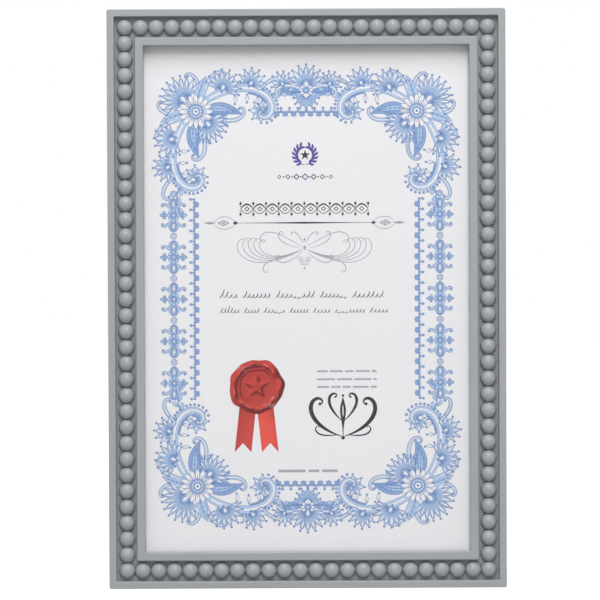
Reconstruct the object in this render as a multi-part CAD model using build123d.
"""Certificate frame: a moulded beaded rim with glass, sheet, backing board, folding strut and hangers.

Millimetres. +Z is up, the front faces -Y and +X is to the right of someone looking at the front.
The origin is on the face that the frame stands on, in the middle of its width and of its depth.
"""
import os

from build123d import *

# Sheet, pane and board
SHEET_WIDTH = 200.0
SHEET_HEIGHT = 300.0
SHEET_THICKNESS = 0.25
SHEET_GAP = 0.15  # between the pane and the sheet, which is never quite flat
PANE_THICKNESS = 2.0
BOARD_THICKNESS = 3.0
POCKET_CLEARANCE = 0.75  # around the sheet and the pane
BOARD_CLEARANCE = 0.5  # around the board
LIP_SIDE = 7.5  # how far the rim laps over the sheet at each side
LIP_END = 6.0  # and at the top and bottom

# Rim, seen from the front
OUTER_BAND = 4.1
GROOVE_WIDTH = 11.8
INNER_BAND = 4.6
OUTER_CORNER_RADIUS = 1.4
GROOVE_CORNER_RADIUS = 0.6
INNER_CORNER_RADIUS = 1.0
SIGHT_CORNER_RADIUS = 0.4
EDGE_ROUND = 0.5

# Rim, in depth
RIM_DEPTH = 16.0
GROOVE_DEPTH = 4.0
SIGHT_DEPTH = 5.4  # from the front of the rim to the pane
GROOVE_SKIN = 1.6  # wall behind the groove
SKIRT_WALL = 2.0
POCKET_WALL = 2.0
RIB_THICKNESS = 1.5
RIB_SPACING = 37.0
RIB_DROP = 1.2  # how far the ribs stop short of the pocket wall's top

# Beads
BEAD_RADIUS = 4.7
BEAD_PITCH = 9.0
BEAD_SUNK = 0.1  # bead centres below the groove's floor
BEAD_ROOT = 0.5  # how deep the beads run into the skin behind the floor

# Turn buttons and their screws
BUTTON_THICKNESS = 1.0
BUTTON_HEAD_RADIUS = 3.5
BUTTON_TIP_RADIUS = 2.6
BUTTON_LAP = 6.0  # how far a button reaches over the board
BUTTON_GAP = 0.1  # between the board and a button
BUTTON_PLAY = 0.05  # above and below a button
BUTTON_END_SHARE = 0.3  # of the board's width, from its middle
BUTTON_SIDE_SHARE = 0.27  # of the board's height, from its middle
BOSS_RADIUS = 3.0
SCREW_RADIUS = 1.3
SCREW_HEAD_RADIUS = 2.6
SCREW_HEAD_HEIGHT = 1.5
SCREW_BITE = 4.0  # length in the boss
SCREW_SLOT_WIDTH = 0.7
SCREW_SLOT_DEPTH = 0.6
SCREW_SLOT_SHARE = 1.5  # slot length in head radii
PILOT_SPARE = 0.4  # hole below the screw's end
SHAFT_CLEARANCE = 0.05  # radial, screws and rivets in their holes
TURNING_CLEARANCE = 0.08  # radial, what turns on a screw or pin

# Hinge and strut
HINGE_HEIGHT_SHARE = 0.635  # of the board's height, up to the pin
HINGE_WIDTH = 36.0
LEAF_THICKNESS = 0.8
LEAF_LENGTH = 22.0
LEAF_CORNER_RADIUS = 2.0
KNUCKLE_RADIUS = 2.1
KNUCKLE_SHARE = 1 / 3  # of the hinge's width, the strut's knuckle
KNUCKLE_GAP = 0.3
PIN_RADIUS = 1.1
PIN_OVERHANG = 0.6
STRUT_TOP_WIDTH = 42.0
STRUT_FOOT_WIDTH = 58.0
STRUT_THICKNESS = 3.0
STRUT_CORNER_RADIUS = 7.0
STRUT_GAP = 0.4  # between the board and the folded strut's leaf
STRUT_TOP_GAP = 1.2  # between the knuckles and the strut
STRUT_FOOT_GAP = 2.0  # between the skirt and the folded strut
STRUT_OPENING = 22.0  # degrees, where the lug meets the board's leaf
LUG_LENGTH = 8.0
LUG_CLEARANCE = 0.1

# Rivets
RIVET_RADIUS = 1.4
RIVET_HEAD_RADIUS = 2.8
RIVET_HEAD_HEIGHT = 0.9
RIVET_TAIL_RADIUS = 2.2
RIVET_TAIL_HEIGHT = 0.7
RIVET_ROUND_SHARE = 0.8  # of a rivet head's height that is rounded
RIVET_SPREAD_SHARE = 0.3  # of the hinge's width, from its middle

# Hangers
HANGER_LENGTH = 46.0
HANGER_WIDTH = 9.0
HANGER_THICKNESS = 0.8
HANGER_FOOT = 9.0  # flat length at each end
HANGER_RISE = 2.8  # room for a nail's head
HANGER_RAMP = 3.0
HANGER_RIVET_INSET = 4.5
TOOTH_PITCH = 2.4
TOOTH_DEPTH = 1.6
PORTRAIT_HANGER_DROP = 26.0  # from the board's top edge
LANDSCAPE_HANGER_INSET = 22.0  # from the board's side edge

OVERRUN = 1.0  # how far a cut runs past what it cuts

# Places worked out from the sizes
RAIL_WIDTH = OUTER_BAND + GROOVE_WIDTH + INNER_BAND
SIGHT_WIDTH = SHEET_WIDTH - 2 * LIP_SIDE
SIGHT_HEIGHT = SHEET_HEIGHT - 2 * LIP_END
RIM_WIDTH = SIGHT_WIDTH + 2 * RAIL_WIDTH
RIM_HEIGHT = SIGHT_HEIGHT + 2 * RAIL_WIDTH
POCKET_WIDTH = SHEET_WIDTH + 2 * POCKET_CLEARANCE
POCKET_HEIGHT = SHEET_HEIGHT + 2 * POCKET_CLEARANCE
BOARD_WIDTH = POCKET_WIDTH - 2 * BOARD_CLEARANCE
BOARD_HEIGHT = POCKET_HEIGHT - 2 * BOARD_CLEARANCE
MIDDLE_Z = RIM_HEIGHT / 2

RIM_FRONT = -RIM_DEPTH / 2
RIM_BACK = RIM_FRONT + RIM_DEPTH
GROOVE_FLOOR = RIM_FRONT + GROOVE_DEPTH
CHANNEL_FLOOR = GROOVE_FLOOR + GROOVE_SKIN
PANE_FRONT = RIM_FRONT + SIGHT_DEPTH
PANE_BACK = PANE_FRONT + PANE_THICKNESS
SHEET_FRONT = PANE_BACK + SHEET_GAP
BOARD_FRONT = SHEET_FRONT + SHEET_THICKNESS
BOARD_BACK = BOARD_FRONT + BOARD_THICKNESS
BOSS_TOP = BOARD_BACK + BUTTON_GAP
BUTTON_FRONT = BOSS_TOP + BUTTON_PLAY
BUTTON_BACK = BUTTON_FRONT + BUTTON_THICKNESS

PIN_Y = BOARD_BACK + KNUCKLE_RADIUS + KNUCKLE_GAP
PIN_Z = MIDDLE_Z - BOARD_HEIGHT / 2 + HINGE_HEIGHT_SHARE * BOARD_HEIGHT
LEAF_BACK = BOARD_BACK + LEAF_THICKNESS
STRUT_LEAF_FRONT = BOARD_BACK + STRUT_GAP
STRUT_FRONT = STRUT_LEAF_FRONT + LEAF_THICKNESS
STRUT_BACK = STRUT_FRONT + STRUT_THICKNESS
STRUT_TOP = PIN_Z - KNUCKLE_RADIUS - STRUT_TOP_GAP
STRUT_FOOT = SKIRT_WALL + STRUT_FOOT_GAP


def slab(width, height, front, back, x=0, z=MIDDLE_Z):
    """Plate that lies in the plane of the frame, between two depths."""
    return Pos(x, (front + back) / 2, z) * Box(width, back - front, height)


def rounded_slab(width, height, radius, front, back):
    """The same plate about the frame's middle, with rounded corners."""
    plate = slab(width, height, front, back)
    return fillet(plate.edges().filter_by(Axis.Y), radius)


def cut_from_sheet(outline, front, thickness):
    """Piece cut from a flat sheet: an outline in X and Z, given its thickness backwards."""
    return Pos(0, front, 0) * Rot(90, 0, 0) * extrude(outline, amount=-thickness)


def rod_along_y(radius, front, back, x, z):
    return Pos(x, (front + back) / 2, z) * Rot(90, 0, 0) * Cylinder(radius, back - front)


def rod_along_x(radius, left, right, y, z):
    return Pos((left + right) / 2, y, z) * Rot(0, 90, 0) * Cylinder(radius, right - left)


def spaced(length, pitch):
    """Places from end to end of a length, as near to the pitch as whole steps allow."""
    steps = max(1, round(length / pitch))
    return [length * (step / steps - 1 / 2) for step in range(steps + 1)]


def rail_middle(half_size, wall_from_edge):
    """Distance from the frame's middle to the middle of the channel in a rail."""
    return half_size - (SKIRT_WALL + wall_from_edge) / 2


# The channel between the skirt and the pocket wall, in the side rails and in the end rails
SIDE_CHANNEL_EDGE = (RIM_WIDTH - POCKET_WIDTH) / 2 - POCKET_WALL
END_CHANNEL_EDGE = (RIM_HEIGHT - POCKET_HEIGHT) / 2 - POCKET_WALL
SIDE_BUTTON_X = rail_middle(RIM_WIDTH / 2, SIDE_CHANNEL_EDGE)
END_BUTTON_Z = rail_middle(RIM_HEIGHT / 2, END_CHANNEL_EDGE)


def button_places():
    """Name, place and pointing direction of each turn button, all pointing over the board."""
    places = []
    for side, sign in (("left", -1), ("right", 1)):
        for level, up in (("upper", 1), ("lower", -1)):
            z = MIDDLE_Z + up * BUTTON_SIDE_SHARE * BOARD_HEIGHT
            places.append((f"turn_button_{side}_{level}", sign * SIDE_BUTTON_X, z, (-sign, 0)))
    for end, up in (("top", 1), ("bottom", -1)):
        for side, sign in (("left", -1), ("right", 1)):
            x = sign * BUTTON_END_SHARE * BOARD_WIDTH
            places.append((f"turn_button_{end}_{side}", x, MIDDLE_Z + up * END_BUTTON_Z, (0, -up)))
    return places


def bead_places():
    """Centres of the beads: one whole bead at each corner, shared by the two rows that meet there."""
    line_inset = OUTER_BAND + GROOVE_WIDTH / 2
    across = spaced(RIM_WIDTH - 2 * line_inset, BEAD_PITCH)
    upward = spaced(RIM_HEIGHT - 2 * line_inset, BEAD_PITCH)
    ends = [(x, z) for x in across for z in (upward[0], upward[-1])]
    sides = [(x, z) for z in upward[1:-1] for x in (across[0], across[-1])]
    return [(x, MIDDLE_Z + z) for x, z in ends + sides]


def bead():
    """Front part of a ball, cut off a little behind the groove's floor."""
    behind = slab(2 * BEAD_RADIUS, 2 * BEAD_RADIUS, BEAD_ROOT - BEAD_SUNK, BEAD_RADIUS + OVERRUN, z=0)
    return Sphere(BEAD_RADIUS) - behind


def frame_moulding():
    """The rim in one piece: two flat bands, a groove of beads between them, a pocket and a skirt behind."""
    rim = rounded_slab(RIM_WIDTH, RIM_HEIGHT, OUTER_CORNER_RADIUS, RIM_FRONT, RIM_BACK)
    rim -= rounded_slab(
        SIGHT_WIDTH, SIGHT_HEIGHT, SIGHT_CORNER_RADIUS, RIM_FRONT - OVERRUN, RIM_BACK + OVERRUN
    )
    groove = rounded_slab(
        RIM_WIDTH - 2 * OUTER_BAND,
        RIM_HEIGHT - 2 * OUTER_BAND,
        GROOVE_CORNER_RADIUS,
        RIM_FRONT - OVERRUN,
        GROOVE_FLOOR,
    )
    groove -= rounded_slab(
        SIGHT_WIDTH + 2 * INNER_BAND,
        SIGHT_HEIGHT + 2 * INNER_BAND,
        INNER_CORNER_RADIUS,
        RIM_FRONT - 2 * OVERRUN,
        GROOVE_FLOOR + OVERRUN,
    )
    rim -= groove
    rim = fillet(rim.edges().group_by(Axis.Y)[0], EDGE_ROUND)

    rim -= slab(POCKET_WIDTH, POCKET_HEIGHT, PANE_FRONT, RIM_BACK + OVERRUN)
    inside_width = RIM_WIDTH - 2 * SKIRT_WALL
    inside_height = RIM_HEIGHT - 2 * SKIRT_WALL
    wall_width = POCKET_WIDTH + 2 * POCKET_WALL
    wall_height = POCKET_HEIGHT + 2 * POCKET_WALL
    rim -= slab(inside_width, inside_height, BOSS_TOP, RIM_BACK + OVERRUN)
    channel = slab(inside_width, inside_height, CHANNEL_FLOOR, BOSS_TOP + OVERRUN)
    channel -= slab(wall_width, wall_height, CHANNEL_FLOOR - OVERRUN, BOSS_TOP + 2 * OVERRUN)
    rim -= channel

    rim += ribs(inside_width, inside_height, wall_width, wall_height)
    screw_end = BOSS_TOP - SCREW_BITE
    for _, x, z, _ in button_places():
        rim += rod_along_y(BOSS_RADIUS, CHANNEL_FLOOR - OVERRUN, BOSS_TOP, x, z)
        pilot = SCREW_RADIUS + SHAFT_CLEARANCE
        rim -= rod_along_y(pilot, screw_end - PILOT_SPARE, BOSS_TOP + OVERRUN, x, z)

    one_bead = bead()
    bead_y = GROOVE_FLOOR + BEAD_SUNK
    return rim.fuse(*[Pos(x, bead_y, z) * one_bead for x, z in bead_places()])


def ribs(inside_width, inside_height, wall_width, wall_height):
    """Cross ribs that join the skirt to the pocket wall."""
    top = BOSS_TOP - RIB_DROP
    front = CHANNEL_FLOOR - OVERRUN
    side_span = (inside_width - wall_width) / 2 + 2 * OVERRUN
    end_span = (inside_height - wall_height) / 2 + 2 * OVERRUN
    side_x = (inside_width + wall_width) / 4
    end_z = (inside_height + wall_height) / 4
    made = []
    for z in spaced(wall_height, RIB_SPACING)[1:-1]:
        for x in (-side_x, side_x):
            made.append(slab(side_span, RIB_THICKNESS, front, top, x, MIDDLE_Z + z))
    for x in spaced(wall_width, RIB_SPACING)[1:-1]:
        for z in (-end_z, end_z):
            made.append(slab(RIB_THICKNESS, end_span, front, top, x, MIDDLE_Z + z))
    return made


def turn_button(x, z, direction):
    """Flat tab with a round head about its screw and a narrower round tip over the board."""
    board_edge = (BOARD_WIDTH if direction[0] else BOARD_HEIGHT) / 2
    screw_out = abs(x) if direction[0] else abs(z - MIDDLE_Z)
    reach = screw_out - board_edge + BUTTON_LAP - BUTTON_TIP_RADIUS
    tip = Pos(direction[0] * reach, direction[1] * reach) * Circle(BUTTON_TIP_RADIUS)
    outline = make_hull(Circle(BUTTON_HEAD_RADIUS).edges() + tip.edges())
    outline -= Circle(SCREW_RADIUS + TURNING_CLEARANCE)
    return Pos(x, 0, z) * cut_from_sheet(outline, BUTTON_FRONT, BUTTON_THICKNESS)


def turn_button_screws():
    """Pan-head screws that the turn buttons swing on."""
    head_front = BUTTON_BACK + BUTTON_PLAY
    head_back = head_front + SCREW_HEAD_HEIGHT
    slot_length = SCREW_SLOT_SHARE * SCREW_HEAD_RADIUS
    screws = []
    for _, x, z, _ in button_places():
        screw = rod_along_y(SCREW_HEAD_RADIUS, head_front, head_back, x, z)
        screw = fillet(screw.edges().group_by(Axis.Y)[-1], SCREW_HEAD_HEIGHT / 2)
        screw += rod_along_y(SCREW_RADIUS, BOSS_TOP - SCREW_BITE, head_front, x, z)
        for width, height in ((SCREW_SLOT_WIDTH, slot_length), (slot_length, SCREW_SLOT_WIDTH)):
            screw -= slab(width, height, head_back - SCREW_SLOT_DEPTH, head_back + OVERRUN, x, z)
        screws.append(screw)
    return Compound(screws)


def board_leaf_rivet_places():
    z = PIN_Z + LEAF_LENGTH - RIVET_HEAD_RADIUS - LEAF_CORNER_RADIUS
    spread = RIVET_SPREAD_SHARE * HINGE_WIDTH
    return [(-spread, z), (spread, z)]


def strut_leaf_rivet_places():
    z = PIN_Z - LEAF_LENGTH + RIVET_HEAD_RADIUS + LEAF_CORNER_RADIUS
    spread = RIVET_SPREAD_SHARE * HINGE_WIDTH
    return [(-spread, z), (spread, z)]


def hanger_rivet_places():
    """Places of the rivets of the upright hanger, and then of the sideways one."""
    reach = HANGER_LENGTH / 2 - HANGER_RIVET_INSET
    top = MIDDLE_Z + BOARD_HEIGHT / 2 - PORTRAIT_HANGER_DROP
    side = BOARD_WIDTH / 2 - LANDSCAPE_HANGER_INSET
    return [(-reach, top), (reach, top), (side, MIDDLE_Z - reach), (side, MIDDLE_Z + reach)]


def backing_board():
    """Fibreboard panel with the rivets' holes, recessed in front for their tails."""
    board = slab(BOARD_WIDTH, BOARD_HEIGHT, BOARD_FRONT, BOARD_BACK)
    for x, z in board_leaf_rivet_places() + hanger_rivet_places():
        board -= rod_along_y(RIVET_RADIUS + SHAFT_CLEARANCE, BOARD_FRONT, BOARD_BACK + OVERRUN, x, z)
        tail = RIVET_TAIL_RADIUS + SHAFT_CLEARANCE
        board -= rod_along_y(tail, BOARD_FRONT - OVERRUN, BOARD_FRONT + RIVET_TAIL_HEIGHT, x, z)
    return board


def board_rivets(places, plate_thickness):
    """Rivets that hold a steel plate to the board: round head behind, flat tail flush in front."""
    head_front = BOARD_BACK + plate_thickness
    head_back = head_front + RIVET_HEAD_HEIGHT
    rivets = []
    for x, z in places:
        rivet = rod_along_y(RIVET_HEAD_RADIUS, head_front, head_back, x, z)
        rivet = fillet(rivet.edges().group_by(Axis.Y)[-1], RIVET_ROUND_SHARE * RIVET_HEAD_HEIGHT)
        rivet += rod_along_y(RIVET_RADIUS, BOARD_FRONT, head_front, x, z)
        rivet += rod_along_y(RIVET_TAIL_RADIUS, BOARD_FRONT, BOARD_FRONT + RIVET_TAIL_HEIGHT, x, z)
        rivets.append(rivet)
    return Compound(rivets)


def strut_leaf_rivets():
    """Rivets through the strut and its leaf: round head behind, end flush with the leaf in front."""
    rivets = []
    for x, z in strut_leaf_rivet_places():
        rivet = rod_along_y(RIVET_HEAD_RADIUS, STRUT_BACK, STRUT_BACK + RIVET_HEAD_HEIGHT, x, z)
        rivet = fillet(rivet.edges().group_by(Axis.Y)[-1], RIVET_ROUND_SHARE * RIVET_HEAD_HEIGHT)
        rivet += rod_along_y(RIVET_RADIUS, STRUT_LEAF_FRONT, STRUT_BACK, x, z)
        rivets.append(rivet)
    return Compound(rivets)


def leaf_outline(bottom, top, round_top):
    """Hinge leaf seen flat, with its two far corners rounded."""
    plate = Pos(0, (bottom + top) / 2) * Rectangle(HINGE_WIDTH, top - bottom)
    far = plate.vertices().group_by(Axis.Y)[-1 if round_top else 0]
    return fillet(far, LEAF_CORNER_RADIUS)


def hinge_board_leaf():
    """Leaf on the board, above the pin, with the two outer knuckles."""
    half = HINGE_WIDTH / 2
    notch_half = half * KNUCKLE_SHARE + KNUCKLE_GAP
    notch = Pos(0, PIN_Z) * Rectangle(2 * notch_half, 2 * (KNUCKLE_RADIUS + KNUCKLE_GAP))
    outline = leaf_outline(PIN_Z, PIN_Z + LEAF_LENGTH, True) - notch
    leaf = cut_from_sheet(outline, BOARD_BACK, LEAF_THICKNESS)
    for left, right in ((-half, -notch_half), (notch_half, half)):
        leaf += rod_along_x(KNUCKLE_RADIUS, left, right, PIN_Y, PIN_Z)
    leaf -= rod_along_x(PIN_RADIUS + SHAFT_CLEARANCE, -half - OVERRUN, half + OVERRUN, PIN_Y, PIN_Z)
    hole = RIVET_RADIUS + SHAFT_CLEARANCE
    for x, z in board_leaf_rivet_places():
        leaf -= rod_along_y(hole, BOARD_BACK - OVERRUN, LEAF_BACK + OVERRUN, x, z)
    return leaf


def hinge_strut_leaf():
    """Leaf on the strut, below the pin, with the middle knuckle and the lug that ends the opening."""
    half = HINGE_WIDTH / 2
    knuckle_half = half * KNUCKLE_SHARE
    plate_top = STRUT_TOP
    outline = leaf_outline(PIN_Z - LEAF_LENGTH, plate_top, False)
    outline += Pos(0, (PIN_Z + plate_top) / 2) * Rectangle(2 * knuckle_half, PIN_Z - plate_top)
    leaf = cut_from_sheet(outline, STRUT_LEAF_FRONT, LEAF_THICKNESS)
    leaf += rod_along_x(KNUCKLE_RADIUS, -knuckle_half, knuckle_half, PIN_Y, PIN_Z)
    lug_front = LEAF_BACK + LUG_CLEARANCE - PIN_Y
    lug = slab(2 * knuckle_half, LUG_LENGTH, lug_front, lug_front + LEAF_THICKNESS, z=LUG_LENGTH / 2)
    leaf += Pos(0, PIN_Y, PIN_Z) * Rot(-STRUT_OPENING, 0, 0) * lug
    leaf -= rod_along_x(PIN_RADIUS + TURNING_CLEARANCE, -half, half, PIN_Y, PIN_Z)
    hole = RIVET_RADIUS + SHAFT_CLEARANCE
    for x, z in strut_leaf_rivet_places():
        leaf -= rod_along_y(hole, STRUT_LEAF_FRONT - OVERRUN, STRUT_FRONT + OVERRUN, x, z)
    return leaf


def hinge_pin():
    """Plain pin that stands a little out of the knuckles at both ends."""
    reach = HINGE_WIDTH / 2 + PIN_OVERHANG
    pin = rod_along_x(PIN_RADIUS, -reach, reach, PIN_Y, PIN_Z)
    return chamfer(pin.edges().filter_by(GeomType.CIRCLE), PIN_OVERHANG / 2)


def strut_leg():
    """Folding leg: a board that widens to a round-cornered foot."""
    top_half = STRUT_TOP_WIDTH / 2
    foot_half = STRUT_FOOT_WIDTH / 2
    foot = [(-foot_half, STRUT_FOOT), (foot_half, STRUT_FOOT)]
    top = [(top_half, STRUT_TOP), (-top_half, STRUT_TOP)]
    outline = make_face(Polyline(*foot, *top, close=True))
    outline = fillet(outline.vertices().group_by(Axis.Y)[0], STRUT_CORNER_RADIUS)
    leg = cut_from_sheet(outline, STRUT_FRONT, STRUT_THICKNESS)
    hole = RIVET_RADIUS + SHAFT_CLEARANCE
    for x, z in strut_leaf_rivet_places():
        leg -= rod_along_y(hole, STRUT_FRONT - OVERRUN, STRUT_BACK + OVERRUN, x, z)
    return leg


def hanger():
    """Toothed hanger strip about its own middle, teeth down, its feet on the plane Y = 0."""
    half = HANGER_LENGTH / 2
    foot_end = half - HANGER_FOOT
    top_end = foot_end - HANGER_RAMP
    bottom = -HANGER_WIDTH / 2
    left_side = [(-half, 0), (-foot_end, 0), (-top_end, HANGER_RISE)]
    front_line = left_side + [(-x, y) for x, y in reversed(left_side)]
    back_line = [(x, y + HANGER_THICKNESS) for x, y in reversed(front_line)]
    section = make_face(Polyline(*front_line, *back_line, close=True))
    strip = Pos(0, 0, bottom) * extrude(section, amount=HANGER_WIDTH)
    for x in spaced(2 * (top_end - TOOTH_PITCH), TOOTH_PITCH):
        foot = [(x - TOOTH_PITCH / 2, bottom), (x + TOOTH_PITCH / 2, bottom), (x, bottom + TOOTH_DEPTH)]
        notch = make_face(Polyline(*foot, close=True))
        strip -= cut_from_sheet(notch, HANGER_RISE - OVERRUN, HANGER_THICKNESS + 2 * OVERRUN)
    rivet_x = half - HANGER_RIVET_INSET
    for x in (-rivet_x, rivet_x):
        strip -= rod_along_y(RIVET_RADIUS + SHAFT_CLEARANCE, -OVERRUN, HANGER_THICKNESS + OVERRUN, x, 0)
    return strip


def main():
    os.makedirs("parts", exist_ok=True)
    upright_place, _, sideways_place, _ = hanger_rivet_places()
    nodes = {
        "frame_moulding": frame_moulding(),
        "glass_pane": slab(SHEET_WIDTH, SHEET_HEIGHT, PANE_FRONT, PANE_BACK),
        "certificate_sheet": slab(SHEET_WIDTH, SHEET_HEIGHT, SHEET_FRONT, BOARD_FRONT),
        "backing_board": backing_board(),
        "turn_button_screws": turn_button_screws(),
        "hinge_board_leaf": hinge_board_leaf(),
        "board_leaf_rivets": board_rivets(board_leaf_rivet_places(), LEAF_THICKNESS),
        "hinge_pin": hinge_pin(),
        "hinge_strut_leaf": hinge_strut_leaf(),
        "strut_leg": strut_leg(),
        "strut_leaf_rivets": strut_leaf_rivets(),
        "portrait_hanger": Pos(0, BOARD_BACK, upright_place[1]) * hanger(),
        "landscape_hanger": Pos(sideways_place[0], BOARD_BACK, MIDDLE_Z) * Rot(0, 90, 0) * hanger(),
        "hanger_rivets": board_rivets(hanger_rivet_places(), HANGER_THICKNESS),
    }
    for name, x, z, direction in button_places():
        nodes[name] = turn_button(x, z, direction)
    for name, shape in nodes.items():
        export_step(shape, f"parts/{name}.step")


main()
